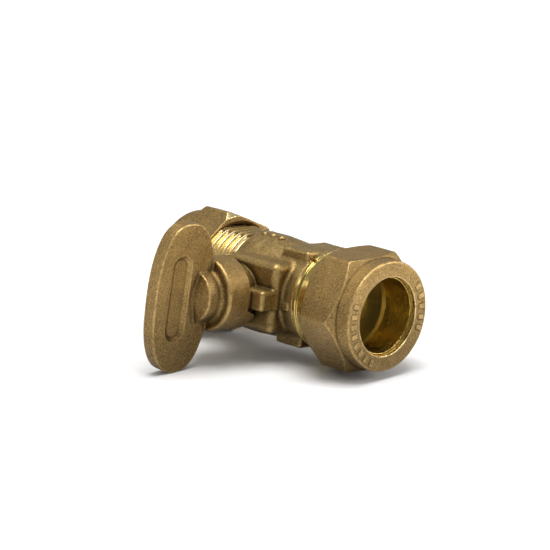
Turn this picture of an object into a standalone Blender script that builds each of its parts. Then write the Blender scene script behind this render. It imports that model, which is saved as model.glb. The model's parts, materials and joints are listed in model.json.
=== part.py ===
"""Quarter-turn isolating valve with a compression end for 15 mm copper pipe on each side.

Units are metres, +Z is up. The valve lies as it rests on a bench: the flow axis runs along X, and
the stem leans a little above the -Y direction, because the handle's tip props that side up. The
origin is under the middle of the whole valve, on the bench.

Everything is first laid out in the valve's own frame, whose origin is the centre of the ball:
X is the flow axis, and the stem points along -Y. "out" is a distance along the stem from the ball.
"""
import bpy
import bmesh
from math import cos, sin, pi, radians, sqrt
from mathutils import Matrix, Vector

MM = 0.001

# ---- how it rests ----
REST_TILT = radians(4.9)       # the stem rises this much from the bench
CLOSED_LEAN = radians(4.5)     # at its closed stop the handle is this far from square to the flow
QUARTER_TURN = pi / 2 - CLOSED_LEAN

# ---- pipe and thread ----
PIPE_SOCKET_R = 7.6 * MM       # takes 15 mm copper pipe
WATERWAY_R = 4.5 * MM
THREAD_R = 9.9 * MM            # mean radius of the G 1/2 thread, whose crests are at 10.48
NUT_BORE_R = 10.2 * MM
GAP = 0.3 * MM                 # clearance between neighbouring pieces
OVERCUT = 1.0 * MM             # how far a cutter reaches past what it cuts
EDGE_BREAK = 0.4 * MM          # chamfer on most turned edges
FINE_BREAK = 0.3 * MM          # chamfer on the small ones

# ---- axial places along the flow axis ----
FRONT_FACE = 30.6 * MM         # outer face of the front nut
REAR_FACE = -25.7 * MM         # outer face of the rear nut
FRONT_MOUTH = 24.6 * MM        # end of the connector, inside the front nut
REAR_MOUTH = -19.7 * MM        # end of the body, inside the rear nut
MOUTH_R = 9.0 * MM             # wide end of the cone that the olive is pressed into
MOUTH_DEPTH = 3.1 * MM
FRONT_STOP = 14.6 * MM         # where a pipe meets its stop
REAR_STOP = -9.7 * MM
THREAD_SHOULDER = -5.4 * MM    # rear end of the barrel
BARREL_END = 2.9 * MM
BODY_FRONT = 13.3 * MM         # front end of the body

# ---- body ----
BARREL_R = 10.3 * MM
BARREL_SHOULDER = 1.4 * MM     # length of the slope from the barrel down to the neck
NECK_R = 9.5 * MM
SPIGOT_CHAMFER = 0.7 * MM
FLATS_HALF = 9.8 * MM          # half the distance across the wrench flats
FLATS_SIDE = 5.9 * MM          # half the width of a flat
FLATS_START = 5.9 * MM
FLATS_END = 13.1 * MM
FLATS_ROUND = 0.6 * MM
BOSS_FACE = 11.6 * MM
BOSS_REAR = -4.8 * MM
BOSS_FRONT = 10.0 * MM
BOSS_HALF = 7.1 * MM           # half the boss's height
BOSS_ROUND = 1.6 * MM
TOWER_R = 5.4 * MM
TOWER_TOP = 16.6 * MM
LUG_TOP = 1.9 * MM
LUG_BOTTOM = -2.2 * MM
LUG_OUT = 14.8 * MM
LUG_REAR = 4.9 * MM            # inside the tower's wall
LUG_FRONT = 9.85 * MM
LUG_ROUND = 0.35 * MM
ROOTED = 2.0 * MM              # how deep the tower and the lug start inside the boss

# ---- ball, seats and cavity ----
BALL_R = 7.1 * MM
CAVITY_R = 7.6 * MM
SEAT_R = 7.3 * MM
SEAT_BORE_R = 5.0 * MM
SEAT_LIP_R = 6.4 * MM
SEAT_BACK = 7.0 * MM
CAVITY_FLARE = 0.5 * MM        # widening at the cavity's open end, to let the seal in
BALL_STEPS = 16
SLOT_FLOOR = 5.2 * MM
SLOT_HALF = 1.3 * MM

# ---- connector ----
CONNECTOR_R = 7.3 * MM
COLLAR_R = 9.96 * MM
COLLAR_END = 15.0 * MM
RELIEF_R = 9.1 * MM
RELIEF_END = 16.4 * MM
RELIEF_RUNOUT = 0.5 * MM
CONNECTOR_SEAL_X = 10.6 * MM
CONNECTOR_GROOVE_R = 6.1 * MM
CONNECTOR_GROOVE_HALF = 0.75 * MM
CONNECTOR_RING_R = 6.85 * MM
CONNECTOR_WIRE_R = 0.5 * MM

# ---- stem ----
STEM_R = 3.0 * MM
STEM_BORE_R = 3.3 * MM
FLANGE_R = 4.3 * MM
FLANGE_LOW = 7.45 * MM
FLANGE_TOP = 8.7 * MM
WASHER_TOP = 9.7 * MM
TANG_END = 5.5 * MM
TANG_HALF_WIDTH = 2.8 * MM
TANG_NECK = 7.2 * MM           # where the round shank starts, short of the tang's end
DRIVE_START = 16.8 * MM        # from here out the stem is thinner and has its flat
FLAT_START = 17.2 * MM
DRIVE_R = 2.6 * MM
DRIVE_FLAT = 1.9 * MM          # the flat's distance from the stem axis
STEM_END = 22.3 * MM
SEAL_ROOT_R = 1.9 * MM
SEAL_OUTS = (12.0 * MM, 14.8 * MM)
SEAL_RING_R = 2.6 * MM
SEAL_WIRE_R = 0.45 * MM
SEAL_GROOVE_HALF = 0.7 * MM

# ---- handle ----
HUB_R = 7.5 * MM
SKIRT_BORE_R = 5.7 * MM
SKIRT_LONG = 12.4 * MM
SKIRT_SHORT = 15.2 * MM
SKIRT_CEILING = 16.9 * MM
HUB_TOP = 20.9 * MM
NECK_TOP = 24.3 * MM
HANDLE_NECK_R = 5.3 * MM
NECK_CROWN = 1.1 * MM          # the neck's end rises this much towards the plate
HANDLE_ROUND = 0.5 * MM
PLATE_CENTRE = 27.75 * MM
PLATE_HALF_WIDTH = 7.35 * MM
PLATE_HALF_LENGTH = 15.2 * MM
PLATE_HALF_THICK = 1.55 * MM
PLATE_POWER = 2.45             # 2 is an ellipse, more is squarer
PLATE_POINTS = 56
RECESS_CENTRE = 29.0 * MM
RECESS_HALF_WIDTH = 2.4 * MM
RECESS_HALF_LENGTH = 8.3 * MM
RECESS_DEPTH = 0.75 * MM
RECESS_END_STEPS = 8
STEP_SLOPE = 0.43              # how far the skirt's lower step falls away, per length of skirt
SCREW_OUT = 18.9 * MM
SCREW_R = 1.5 * MM
SCREW_INSET = 0.6 * MM         # from the hub's side to the screw's outer end
SOCKET_R = 0.85 * MM           # the screw's hexagon socket
SOCKET_DEPTH = 1.6 * MM

# ---- nuts and olives ----
NUT_FLATS_HALF = 11.35 * MM    # 22.7 mm across flats
NUT_CORNER_ROUND = 1.2 * MM
NUT_LENGTH = 13.0 * MM
NUT_COLLAR_R = 11.15 * MM
NUT_COLLAR = 3.7 * MM          # length of the round collar
NUT_SLOPE = 1.5 * MM           # length of the chamfer between the collar and the hexagon
NUT_BEVEL = 1.6 * MM           # length of the chamfer at the threaded end
NUT_BEVEL_INSET = 0.1 * MM     # that chamfer ends this far inside the flats
NUT_LEAD_IN = 0.6 * MM
NUT_HOLE_R = 7.88 * MM
NUT_HOLE_LENGTH = 1.2 * MM     # straight hole for the pipe, before the cone that presses the olive
NUT_CONE_END = 4.6 * MM
NUT_CONE_R = 9.4 * MM
NUT_BORE_START = 5.4 * MM
FRONT_NUT_PHASE = radians(25.0)
REAR_NUT_PHASE = radians(50.0)
OLIVE_LENGTH = 6.8 * MM
OLIVE_R = 8.9 * MM
OLIVE_INSET = 1.25 * MM        # from the nut's outer face to the olive's end
OLIVE_BORE_R = 7.55 * MM
OLIVE_LIP = 0.2 * MM           # wall thickness at its two ends
OLIVE_CROWN_START = 2.3 * MM
OLIVE_CROWN_END = 3.6 * MM

SEGMENTS = 40
FINE_SEGMENTS = 24
WIRE_SIDES = 8
SMOOTH_ANGLE = radians(35)
WELD = 1e-7

CAST_BRASS = (0.42, 0.29, 0.11)
TURNED_BRASS = (0.72, 0.52, 0.16)
CHROME = (0.6, 0.6, 0.62)
ZINC = (0.5, 0.5, 0.5)
RUBBER = (0.02, 0.02, 0.02)
PTFE = (0.85, 0.85, 0.82)

PARTS = bpy.data.collections.new("valve")
GUIDES = bpy.data.collections.new("cutters")


# ---------------------------------------------------------------- materials
def material(name, colour, roughness, metallic):
    mat = bpy.data.materials.new(name)
    mat.use_nodes = True
    shader = mat.node_tree.nodes["Principled BSDF"]
    shader.inputs["Base Color"].default_value = (*colour, 1.0)
    shader.inputs["Roughness"].default_value = roughness
    shader.inputs["Metallic"].default_value = metallic
    mat.diffuse_color = (*colour, 1.0)
    return mat


def cast_brass(name):
    return material(name, CAST_BRASS, 0.5, 1.0)


def turned_brass(name):
    return material(name, TURNED_BRASS, 0.22, 1.0)


def rubber(name):
    return material(name, RUBBER, 0.6, 0.0)


def ptfe(name):
    return material(name, PTFE, 0.45, 0.0)


# ---------------------------------------------------------------- shape helpers
FLOW = Matrix.Identity(4)
# takes a shape turned about X to one turned about the stem, with X along "out"
STEM = Matrix(((0, 1, 0, 0), (-1, 0, 0, 0), (0, 0, 1, 0), (0, 0, 0, 1)))


def finish_mesh(bm, name, matrix):
    """Makes an object of a bmesh whose faces all point out, with sharp edges left sharp."""
    bm.transform(matrix)
    bmesh.ops.remove_doubles(bm, verts=bm.verts, dist=WELD)
    bmesh.ops.recalc_face_normals(bm, faces=bm.faces)
    mesh = bpy.data.meshes.new(name)
    bm.to_mesh(mesh)
    bm.free()
    mesh.shade_smooth()
    mesh.set_sharp_from_angle(angle=SMOOTH_ANGLE)
    obj = bpy.data.objects.new(name, mesh)
    PARTS.objects.link(obj)
    return obj


def turned(name, profile, matrix=FLOW, segments=SEGMENTS, phase=0.0):
    """Turns a closed outline of (along, radius) points about X. A radius of 0 is on the axis."""
    bm = bmesh.new()
    rings = []
    for along, radius in profile:
        if radius == 0.0:
            rings.append([bm.verts.new((along, 0.0, 0.0))])
            continue
        turn = [phase + 2 * pi * i / segments for i in range(segments)]
        rings.append([bm.verts.new((along, radius * cos(a), radius * sin(a))) for a in turn])
    for first, second in zip(rings, rings[1:] + rings[:1]):
        for i in range(segments):
            j = (i + 1) % segments
            corners = [first[i % len(first)], first[j % len(first)],
                       second[j % len(second)], second[i % len(second)]]
            corners = list(dict.fromkeys(corners))
            if len(corners) > 2:
                bm.faces.new(corners)
    return finish_mesh(bm, name, matrix)


def torus(name, along, ring_r, wire_r, matrix=FLOW, segments=SEGMENTS):
    steps = [2 * pi * i / WIRE_SIDES for i in range(WIRE_SIDES)]
    return turned(name, [(along + wire_r * cos(a), ring_r + wire_r * sin(a)) for a in steps],
                  matrix, segments)


def prism(name, outline, low, high, matrix=FLOW, far_outline=None):
    """Joins a closed outline of (y, z) points at low along X to the same, or another, at high."""
    bm = bmesh.new()
    ends = []
    for along, points in ((low, outline), (high, far_outline or outline)):
        ends.append([bm.verts.new((along, y, z)) for y, z in points])
        bm.faces.new(ends[-1])
    near, far = ends
    for i in range(len(near)):
        j = (i + 1) % len(near)
        bm.faces.new((near[i], near[j], far[j], far[i]))
    return finish_mesh(bm, name, matrix)


def block(name, low, high, rounding=0.0, steps=3):
    """A box between two corners, its edges rounded."""
    bm = bmesh.new()
    bmesh.ops.create_cube(bm, size=1.0)
    low, high = Vector(low), Vector(high)
    for v in bm.verts:
        v.co = Vector((l + (h - l) * (c + 0.5) for l, h, c in zip(low, high, v.co)))
    if rounding:
        bmesh.ops.bevel(bm, geom=bm.edges[:], offset=rounding, segments=steps, profile=0.5,
                        affect='EDGES')
    return finish_mesh(bm, name, FLOW)


def boolean(target, tool, operation):
    """Adds or takes away a guide shape, which is then hidden."""
    modifier = target.modifiers.new(tool.name, 'BOOLEAN')
    modifier.operation = operation
    modifier.solver = 'EXACT'
    modifier.object = tool
    tool.parent = target
    tool.hide_render = True
    tool.display_type = 'WIRE'
    PARTS.objects.unlink(tool)
    GUIDES.objects.link(tool)


def join(target, tool):
    boolean(target, tool, 'UNION')


def cut(target, tool):
    boolean(target, tool, 'DIFFERENCE')


def keep_inside(target, tool):
    boolean(target, tool, 'INTERSECT')


def paint(obj, mat):
    obj.data.materials.append(mat)
    return obj


# ---------------------------------------------------------------- pieces
def valve_body():
    body = turned("valve_body", [
        (REAR_MOUTH, 0.0), (REAR_MOUTH, THREAD_R - SPIGOT_CHAMFER), (REAR_MOUTH + SPIGOT_CHAMFER, THREAD_R),
        (THREAD_SHOULDER, THREAD_R), (THREAD_SHOULDER + EDGE_BREAK, BARREL_R),
        (BARREL_END - BARREL_SHOULDER / 2, BARREL_R), (BARREL_END + BARREL_SHOULDER / 2, NECK_R),
        (BODY_FRONT, NECK_R), (BODY_FRONT, 0.0)])
    paint(body, cast_brass("cast brass body"))
    join(body, block("wrench_pads", (FLATS_START, -FLATS_SIDE, -FLATS_HALF),
                     (FLATS_END, FLATS_SIDE, FLATS_HALF), FLATS_ROUND, 2))
    join(body, block("boss_block", (BOSS_REAR, -BOSS_FACE, -BOSS_HALF),
                     (BOSS_FRONT, 0.0, BOSS_HALF), BOSS_ROUND, 3))
    join(body, block("stop_lug", (LUG_REAR, -LUG_OUT, LUG_BOTTOM),
                     (LUG_FRONT, -BOSS_FACE + ROOTED, LUG_TOP), LUG_ROUND, 2))
    join(body, turned("stem_tower", [
        (BOSS_FACE - ROOTED, 0.0), (BOSS_FACE - ROOTED, TOWER_R), (TOWER_TOP - EDGE_BREAK, TOWER_R),
        (TOWER_TOP, TOWER_R - EDGE_BREAK), (TOWER_TOP, 0.0)], STEM))
    cut(body, turned("flow_passage", [
        (REAR_MOUTH - OVERCUT, 0.0), (REAR_MOUTH - OVERCUT, MOUTH_R), (REAR_MOUTH, MOUTH_R),
        (REAR_MOUTH + MOUTH_DEPTH, PIPE_SOCKET_R),
        (REAR_STOP, PIPE_SOCKET_R), (REAR_STOP, WATERWAY_R),
        (-SEAT_BACK - GAP, WATERWAY_R), (-SEAT_BACK - GAP, CAVITY_R),
        (BODY_FRONT - 2 * CAVITY_FLARE, CAVITY_R), (BODY_FRONT, CAVITY_R + CAVITY_FLARE),
        (BODY_FRONT + OVERCUT, CAVITY_R + CAVITY_FLARE), (BODY_FRONT + OVERCUT, 0.0)]))
    cut(body, turned("stem_passage", [
        (CAVITY_R / 2, 0.0), (CAVITY_R / 2, FLANGE_R + GAP), (WASHER_TOP + GAP, FLANGE_R + GAP),
        (WASHER_TOP + GAP, STEM_BORE_R), (TOWER_TOP + OVERCUT, STEM_BORE_R), (TOWER_TOP + OVERCUT, 0.0)],
        STEM, FINE_SEGMENTS))
    return body


def end_connector():
    inner_end = SEAT_BACK + GAP
    groove_rear = CONNECTOR_SEAL_X - CONNECTOR_GROOVE_HALF
    groove_front = CONNECTOR_SEAL_X + CONNECTOR_GROOVE_HALF
    return paint(turned("end_connector", [
        (inner_end, WATERWAY_R), (inner_end, CONNECTOR_R - EDGE_BREAK),
        (inner_end + EDGE_BREAK, CONNECTOR_R),
        (groove_rear, CONNECTOR_R), (groove_rear, CONNECTOR_GROOVE_R),
        (groove_front, CONNECTOR_GROOVE_R), (groove_front, CONNECTOR_R),
        (BODY_FRONT + GAP, CONNECTOR_R), (BODY_FRONT + GAP, COLLAR_R - FINE_BREAK),
        (BODY_FRONT + GAP + FINE_BREAK, COLLAR_R), (COLLAR_END - EDGE_BREAK, COLLAR_R),
        (COLLAR_END, COLLAR_R - EDGE_BREAK), (COLLAR_END, RELIEF_R),
        (RELIEF_END - RELIEF_RUNOUT, RELIEF_R), (RELIEF_END, THREAD_R),
        (FRONT_MOUTH - SPIGOT_CHAMFER, THREAD_R), (FRONT_MOUTH, THREAD_R - SPIGOT_CHAMFER),
        (FRONT_MOUTH, MOUTH_R), (FRONT_MOUTH - MOUTH_DEPTH, PIPE_SOCKET_R),
        (FRONT_STOP, PIPE_SOCKET_R), (FRONT_STOP, WATERWAY_R)]),
        turned_brass("turned brass connector"))


def connector_seal():
    return paint(torus("connector_seal", CONNECTOR_SEAL_X, CONNECTOR_RING_R, CONNECTOR_WIRE_R),
                 rubber("seal rubber"))


def ball():
    arc = [pi - pi * i / BALL_STEPS for i in range(1, BALL_STEPS)]
    profile = [(-BALL_R, 0.0)] + [(BALL_R * cos(a), BALL_R * sin(a)) for a in arc] + [(BALL_R, 0.0)]
    obj = turned("ball", profile, FLOW, FINE_SEGMENTS)
    upright = Matrix.Rotation(-pi / 2, 4, 'Y')
    reach = BALL_R + OVERCUT
    cut(obj, turned("ball_bore", [(-reach, 0.0), (-reach, WATERWAY_R), (reach, WATERWAY_R),
                                  (reach, 0.0)], upright, FINE_SEGMENTS))
    cut(obj, block("drive_slot", (-reach, -reach, -SLOT_HALF), (reach, -SLOT_FLOOR, SLOT_HALF)))
    return paint(obj, material("chrome plate", CHROME, 0.12, 1.0))


def seat_ring(name, side):
    """The ring's conical face stays one gap away from the ball. side is 1 in front, -1 behind."""
    slope = (BALL_R + GAP) * sqrt(2)
    outline = [(slope - SEAT_BORE_R, SEAT_BORE_R), (SEAT_BACK, SEAT_BORE_R), (SEAT_BACK, SEAT_R),
               (slope - SEAT_LIP_R, SEAT_R), (slope - SEAT_LIP_R, SEAT_LIP_R)]
    return paint(turned(name, [(side * along, r) for along, r in outline]), ptfe(name + " ptfe"))


def stem():
    profile = [(TANG_NECK, 0.0), (TANG_NECK, STEM_R), (FLANGE_LOW, STEM_R),
               (FLANGE_LOW, FLANGE_R), (FLANGE_TOP, FLANGE_R), (FLANGE_TOP, STEM_R)]
    for out in SEAL_OUTS:
        near, far = out - SEAL_GROOVE_HALF, out + SEAL_GROOVE_HALF
        profile += [(near, STEM_R), (near, SEAL_ROOT_R), (far, SEAL_ROOT_R), (far, STEM_R)]
    profile += [(DRIVE_START, STEM_R), (DRIVE_START, DRIVE_R),
                (STEM_END - FINE_BREAK, DRIVE_R), (STEM_END, DRIVE_R - FINE_BREAK), (STEM_END, 0.0)]
    obj = turned("stem", profile, STEM, FINE_SEGMENTS)
    reach = DRIVE_R + OVERCUT
    cut(obj, block("drive_flat", (-reach, -STEM_END - OVERCUT, -reach), (-DRIVE_FLAT, -FLAT_START, reach)))
    join(obj, block("tang", (-TANG_HALF_WIDTH, -FLANGE_LOW - GAP, -SLOT_HALF + GAP),
                    (TANG_HALF_WIDTH, -TANG_END, SLOT_HALF - GAP)))
    return paint(obj, turned_brass("turned brass stem"))


def thrust_washer():
    low = FLANGE_TOP + GAP
    return paint(turned("stem_thrust_washer", [
        (low, STEM_BORE_R), (WASHER_TOP, STEM_BORE_R), (WASHER_TOP, FLANGE_R), (low, FLANGE_R)],
        STEM, FINE_SEGMENTS), ptfe("washer ptfe"))


def stem_seals():
    for name, out in zip(("stem_oring_inner", "stem_oring_outer"), SEAL_OUTS):
        yield paint(torus(name, out, SEAL_RING_R, SEAL_WIRE_R, STEM, FINE_SEGMENTS),
                    rubber(name + " rubber"))


def plate_outline():
    """A superellipse in the plane of the stem and the vertical, as (y, z) points."""
    points = []
    for i in range(PLATE_POINTS):
        a = 2 * pi * i / PLATE_POINTS
        across = abs(cos(a)) ** (2 / PLATE_POWER) * (1 if cos(a) >= 0 else -1)
        along = abs(sin(a)) ** (2 / PLATE_POWER) * (1 if sin(a) >= 0 else -1)
        points.append((-PLATE_CENTRE + PLATE_HALF_WIDTH * across, PLATE_HALF_LENGTH * along))
    return points


def recess_outline():
    """A slot shape with round ends, as (y, z) points."""
    straight = RECESS_HALF_LENGTH - RECESS_HALF_WIDTH
    points = []
    for end in (1, -1):
        for i in range(RECESS_END_STEPS + 1):
            a = pi * i / RECESS_END_STEPS + (0 if end > 0 else pi)
            points.append((-RECESS_CENTRE + RECESS_HALF_WIDTH * cos(a),
                           end * straight + RECESS_HALF_WIDTH * sin(a)))
    return points


def cutaway_outline(step_side):
    """The open sector of the skirt as (x, z) points, between the step that meets the lug's lower
    side when closed, at step_side, and the one that meets its upper side when open."""
    reach = HUB_R + OVERCUT
    meets = LUG_TOP + GAP
    turn = Matrix.Rotation(QUARTER_TURN, 2)
    return [(0.0, step_side), (reach, step_side), (reach, reach),
            tuple(turn @ Vector((reach, meets))), tuple(turn @ Vector((0.0, meets)))]


def handle():
    obj = turned("handle", [
        (SKIRT_LONG, 0.0), (SKIRT_LONG, HUB_R - FINE_BREAK), (SKIRT_LONG + FINE_BREAK, HUB_R),
        (HUB_TOP - HANDLE_ROUND, HUB_R), (HUB_TOP, HUB_R - HANDLE_ROUND),
        (HUB_TOP, HANDLE_NECK_R), (NECK_TOP, HANDLE_NECK_R),
        (NECK_TOP + NECK_CROWN, PLATE_HALF_THICK), (NECK_TOP + NECK_CROWN, 0.0)], STEM)
    join(obj, prism("oval_plate", plate_outline(), -PLATE_HALF_THICK, PLATE_HALF_THICK))
    for name, side in (("recess_front", 1), ("recess_back", -1)):
        ends = sorted((side * (PLATE_HALF_THICK - RECESS_DEPTH), side * (PLATE_HALF_THICK + OVERCUT)))
        cut(obj, prism(name, recess_outline(), *ends))
    cut(obj, turned("skirt_hollow", [
        (SKIRT_LONG - OVERCUT, 0.0), (SKIRT_LONG - OVERCUT, SKIRT_BORE_R), (SKIRT_CEILING, SKIRT_BORE_R),
        (SKIRT_CEILING, DRIVE_R + GAP), (STEM_END + GAP, DRIVE_R + GAP), (STEM_END + GAP, 0.0)], STEM))
    mouth = SKIRT_LONG - OVERCUT
    step = LUG_BOTTOM - GAP
    cut(obj, prism("skirt_cutaway", cutaway_outline(step - STEP_SLOPE * (SKIRT_SHORT - mouth)),
                   mouth, SKIRT_SHORT, Matrix.Rotation(-CLOSED_LEAN, 4, 'Y') @ STEM,
                   cutaway_outline(step)))
    hole_start = -HUB_R - OVERCUT
    cut(obj, turned("screw_hole", [(hole_start, 0.0), (hole_start, SCREW_R + GAP),
                                   (-DRIVE_FLAT, SCREW_R + GAP), (-DRIVE_FLAT, 0.0)],
                    Matrix.Translation((0.0, -SCREW_OUT, 0.0)), FINE_SEGMENTS))
    return paint(obj, cast_brass("cast brass handle"))


def grub_screw():
    outer, inner = -HUB_R + SCREW_INSET, -DRIVE_FLAT - GAP
    place = Matrix.Translation((0.0, -SCREW_OUT, 0.0))
    obj = turned("handle_grub_screw", [
        (outer, 0.0), (outer, SCREW_R - FINE_BREAK), (outer + FINE_BREAK, SCREW_R),
        (inner - FINE_BREAK, SCREW_R), (inner, SCREW_R - FINE_BREAK), (inner, 0.0)],
        place, FINE_SEGMENTS)
    cut(obj, turned("hex_socket", [(outer - OVERCUT, 0.0), (outer - OVERCUT, SOCKET_R),
                                   (outer + SOCKET_DEPTH, SOCKET_R), (outer + SOCKET_DEPTH, 0.0)],
                    place, 6))
    return paint(obj, material("zinc plate", ZINC, 0.3, 1.0))


def hexagon_outline(phase):
    """A hexagon with rounded corners, the first one half a side after phase, as (y, z) points."""
    centres_r = (NUT_FLATS_HALF - NUT_CORNER_ROUND) * 2 / sqrt(3)
    points = []
    for i in range(6):
        corner = phase + pi / 6 + i * pi / 3
        for turn in (-pi / 6, 0.0, pi / 6):
            points.append((-centres_r * cos(corner) - NUT_CORNER_ROUND * cos(corner + turn),
                           centres_r * sin(corner) + NUT_CORNER_ROUND * sin(corner + turn)))
    return points


def compression_nut(name, face, side, phase):
    """side is 1 for the nut whose outer face points to +X. The hexagon's first flat faces phase."""
    def at(inward, radius):
        return (face - side * inward, radius)
    corner = 2 * NUT_FLATS_HALF / sqrt(3)
    obj = turned(name, [
        at(0, NUT_HOLE_R), at(0, NUT_COLLAR_R - EDGE_BREAK), at(EDGE_BREAK, NUT_COLLAR_R),
        at(NUT_COLLAR, NUT_COLLAR_R), at(NUT_COLLAR + NUT_SLOPE, corner),
        at(NUT_LENGTH - NUT_BEVEL, corner), at(NUT_LENGTH, NUT_FLATS_HALF - NUT_BEVEL_INSET),
        at(NUT_LENGTH, NUT_BORE_R + NUT_LEAD_IN), at(NUT_LENGTH - NUT_LEAD_IN, NUT_BORE_R),
        at(NUT_BORE_START, NUT_BORE_R), at(NUT_CONE_END, NUT_CONE_R), at(NUT_HOLE_LENGTH, NUT_HOLE_R)],
        phase=phase)
    ends = sorted((face + side * OVERCUT, face - side * (NUT_LENGTH + OVERCUT)))
    keep_inside(obj, prism(name + "_hexagon", hexagon_outline(phase), *ends))
    return paint(obj, cast_brass(name + " cast brass"))


def olive(name, face, side):
    def at(inward, radius):
        return (face - side * (OLIVE_INSET + inward), radius)
    return paint(turned(name, [
        at(0, OLIVE_BORE_R), at(0, OLIVE_BORE_R + OLIVE_LIP), at(OLIVE_CROWN_START, OLIVE_R),
        at(OLIVE_CROWN_END, OLIVE_R), at(OLIVE_LENGTH, OLIVE_BORE_R + OLIVE_LIP),
        at(OLIVE_LENGTH, OLIVE_BORE_R)]),
        turned_brass(name + " brass"))


# ---------------------------------------------------------------- assembly
def clear_scene():
    for obj in list(bpy.data.objects):
        bpy.data.objects.remove(obj, do_unlink=True)


def empty(name, parent=None, location=(0.0, 0.0, 0.0)):
    obj = bpy.data.objects.new(name, None)
    obj.empty_display_size = BALL_R
    obj.location = location
    obj.parent = parent
    PARTS.objects.link(obj)
    return obj


def lowest_and_highest(objects):
    bpy.context.view_layer.update()
    graph = bpy.context.evaluated_depsgraph_get()
    points = []
    for obj in objects:
        seen = obj.evaluated_get(graph)
        points += [seen.matrix_world @ v.co for v in seen.data.vertices]
    return (Vector(min(p[i] for p in points) for i in range(3)),
            Vector(max(p[i] for p in points) for i in range(3)))


def build():
    clear_scene()
    for collection in (PARTS, GUIDES):
        bpy.context.scene.collection.children.link(collection)
    valve = empty("valve_frame")
    valve.rotation_euler = (-REST_TILT, 0.0, 0.0)
    stem_axis = empty("stem_axis", valve)
    ball_axis = empty("ball_axis", valve)
    for turning in (stem_axis, ball_axis):
        turning.rotation_euler = (0.0, CLOSED_LEAN, 0.0)
    front_axis = empty("front_nut_axis", valve, (FRONT_FACE, 0.0, 0.0))
    rear_axis = empty("rear_nut_axis", valve, (REAR_FACE, 0.0, 0.0))
    groups = [
        (valve, [valve_body(), end_connector(), connector_seal(), seat_ring("seat_ring_front", 1),
                 seat_ring("seat_ring_rear", -1), thrust_washer()]),
        (stem_axis, [stem(), *stem_seals(), handle(), grub_screw()]),
        (ball_axis, [ball()]),
        (front_axis, [compression_nut("front_nut", FRONT_FACE, 1, FRONT_NUT_PHASE),
                      olive("front_olive", FRONT_FACE, 1)]),
        (rear_axis, [compression_nut("rear_nut", REAR_FACE, -1, REAR_NUT_PHASE),
                     olive("rear_olive", REAR_FACE, -1)]),
    ]
    pieces = []
    for parent, members in groups:
        for obj in members:
            for shape in (obj, *obj.children):
                shape.data.transform(Matrix.Translation(-parent.location))
            obj.parent = parent
            pieces.append(obj)
    low, high = lowest_and_highest(pieces)
    valve.location = (-(low.x + high.x) / 2, -(low.y + high.y) / 2, -low.z)


build()
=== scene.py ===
"""Visual model of a quarter-turn brass isolating valve with two compression ends.

Every fine piece is the zero surface of a distance function, meshed by surface_nets(). Those functions
work in the valve's own frame, in millimetres: X is the flow axis, the stem points along -Y, Z is up,
and the origin is the centre of the ball. "out" is the distance along the stem from the ball.
"""
import json
from math import atan2, cos, pi, radians, sin, sqrt

import bpy
import numpy as np
from mathutils import Matrix, Vector


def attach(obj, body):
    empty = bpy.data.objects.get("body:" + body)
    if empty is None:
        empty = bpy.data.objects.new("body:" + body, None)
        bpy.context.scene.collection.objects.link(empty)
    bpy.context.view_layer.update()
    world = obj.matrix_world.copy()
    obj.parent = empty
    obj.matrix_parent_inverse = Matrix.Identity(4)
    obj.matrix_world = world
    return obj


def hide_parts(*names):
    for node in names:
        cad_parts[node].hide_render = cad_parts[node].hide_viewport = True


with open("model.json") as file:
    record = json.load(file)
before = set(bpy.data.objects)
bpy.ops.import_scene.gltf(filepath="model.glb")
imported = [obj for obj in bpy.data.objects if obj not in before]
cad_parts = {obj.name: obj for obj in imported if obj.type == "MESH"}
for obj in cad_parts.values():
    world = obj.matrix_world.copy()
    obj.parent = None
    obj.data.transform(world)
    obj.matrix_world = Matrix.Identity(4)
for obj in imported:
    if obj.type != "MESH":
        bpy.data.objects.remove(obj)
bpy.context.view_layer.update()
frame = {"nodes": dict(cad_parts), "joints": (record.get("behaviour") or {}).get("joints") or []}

MM = 0.001
hinge = next(j for j in frame["joints"] if j["name"] == "handle_turn")
REST_TILT = atan2(-hinge["axis"][2], hinge["axis"][1])
# from the valve's frame in millimetres to the world in metres
VALVE = (Matrix.Translation(hinge["pos_m"]) @ Matrix.Rotation(-REST_TILT, 4, 'X')
         @ Matrix.Scale(MM, 4))

# ---- dimensions of the CAD pieces, in millimetres ----
# along the flow axis
FRONT_FACE = 30.6              # outer faces of the two nuts
REAR_FACE = -25.7
FRONT_MOUTH = 24.6             # ends of the two threads, inside the nuts
REAR_MOUTH = -19.7
FRONT_STOP = 14.6              # how far in a pipe goes
REAR_STOP = -9.7
THREAD_SHOULDER = -5.4
BARREL_END = 2.9
BODY_FRONT = 13.3
COLLAR_END = 15.0
# pipe sockets and waterway
PIPE_SOCKET_R = 7.6
MOUTH_R = 9.0
MOUTH_DEPTH = 3.1
WATERWAY_R = 4.5
CAVITY_R = 7.6
CAVITY_REAR = -7.3
# body
BARREL_R = 10.3
NECK_R = 9.5
FLATS_HALF = 9.8
FLATS_SIDE = 5.9
FLATS_START = 5.9
BOSS_FACE = 11.6
BOSS_FRONT = 10.0
BOSS_HALF = 7.1
TOWER_R = 5.4
TOWER_TOP = 16.6
LUG_LOW, LUG_HIGH = -2.2, 1.9
LUG_OUT = 14.8
STEM_BORE_R = 3.3
FLANGE_BORE_R = 4.6
FLANGE_SEAT = 3.0
WASHER_SEAT = 10.0
# connector
CONNECTOR_R = 7.3
CONNECTOR_BACK = 7.3
COLLAR_R = 9.96
SEAL_X = 10.6
SEAL_GROOVE_R = 6.1
SEAL_GROOVE_HALF = 0.75
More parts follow.
